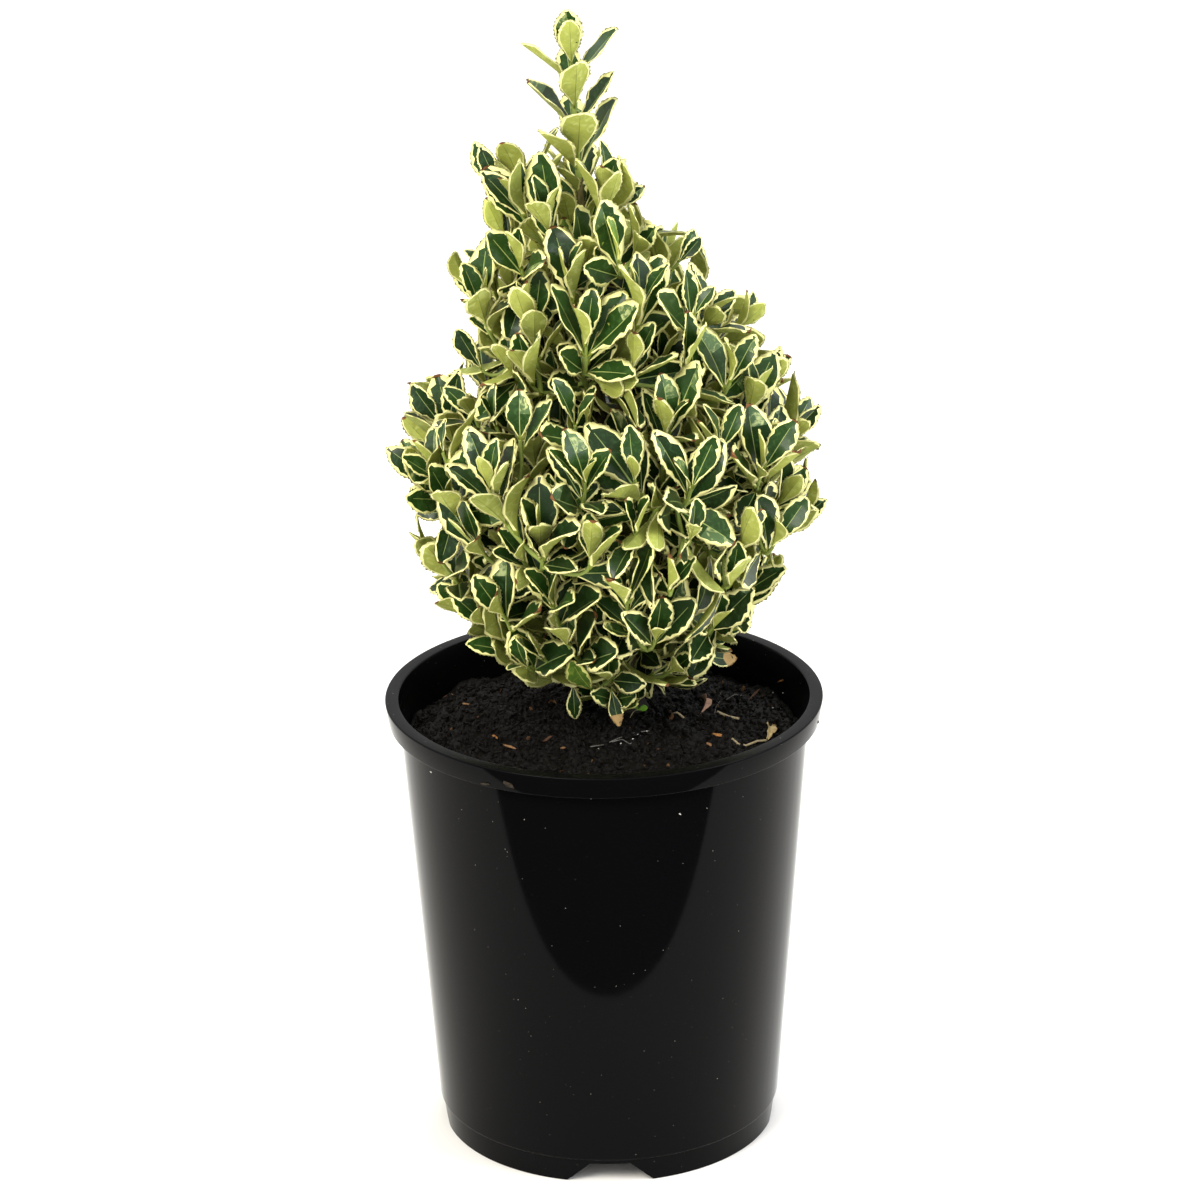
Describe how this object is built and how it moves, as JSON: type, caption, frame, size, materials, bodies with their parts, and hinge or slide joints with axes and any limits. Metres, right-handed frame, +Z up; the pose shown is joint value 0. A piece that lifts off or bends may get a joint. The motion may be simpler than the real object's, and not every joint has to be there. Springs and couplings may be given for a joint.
{
  "type": "potted spindle bush",
  "caption": "Compact evergreen spindle bush with cream-edged leaves, tapering to a leafy tip, grown in a round black nursery pot filled with dark potting mix.",
  "frame": {"origin": "on the pot's axis, at the ground that its foot ring stands on", "axes": "+Z up along the pot's axis, +X to the right and +Y away as the bush is seen from its front"},
  "size_m": [0.2, 0.2, 0.5266],
  "materials": {
    "black_polypropylene": "glossy",
    "potting_mix": "rough",
    "green_brown_bark": "matte",
    "variegated_leaf": "satin"
  },
  "bodies": {
    "root": {"pot": "black_polypropylene", "potting_mix": "potting_mix", "trunk": "green_brown_bark", "bough_neck_left": "green_brown_bark", "bough_neck_front": "green_brown_bark", "bough_neck_back": "green_brown_bark", "bough_upper_left": "green_brown_bark", "bough_upper_right": "green_brown_bark", "bough_upper_front": "green_brown_bark", "bough_upper_back": "green_brown_bark", "bough_mid_left": "green_brown_bark", "bough_mid_right": "green_brown_bark", "bough_mid_front_left": "green_brown_bark", "bough_mid_front_right": "green_brown_bark", "bough_mid_back_left": "green_brown_bark", "bough_mid_back_right": "green_brown_bark", "bough_low_left": "green_brown_bark", "bough_low_right": "green_brown_bark", "bough_low_front": "green_brown_bark", "bough_low_back": "green_brown_bark", "foliage_spire": "variegated_leaf", "foliage_neck_left": "variegated_leaf", "foliage_neck_front": "variegated_leaf", "foliage_neck_back": "variegated_leaf", "foliage_upper_left": "variegated_leaf", "foliage_upper_right": "variegated_leaf", "foliage_upper_front": "variegated_leaf", "foliage_upper_back": "variegated_leaf", "foliage_mid_left": "variegated_leaf", "foliage_mid_right": "variegated_leaf", "foliage_mid_front_left": "variegated_leaf", "foliage_mid_front_right": "variegated_leaf", "foliage_mid_back_left": "variegated_leaf", "foliage_mid_back_right": "variegated_leaf", "foliage_low_left": "variegated_leaf", "foliage_low_right": "variegated_leaf", "foliage_low_front": "variegated_leaf", "foliage_low_back": "variegated_leaf"}
  },
  "joints": []
}
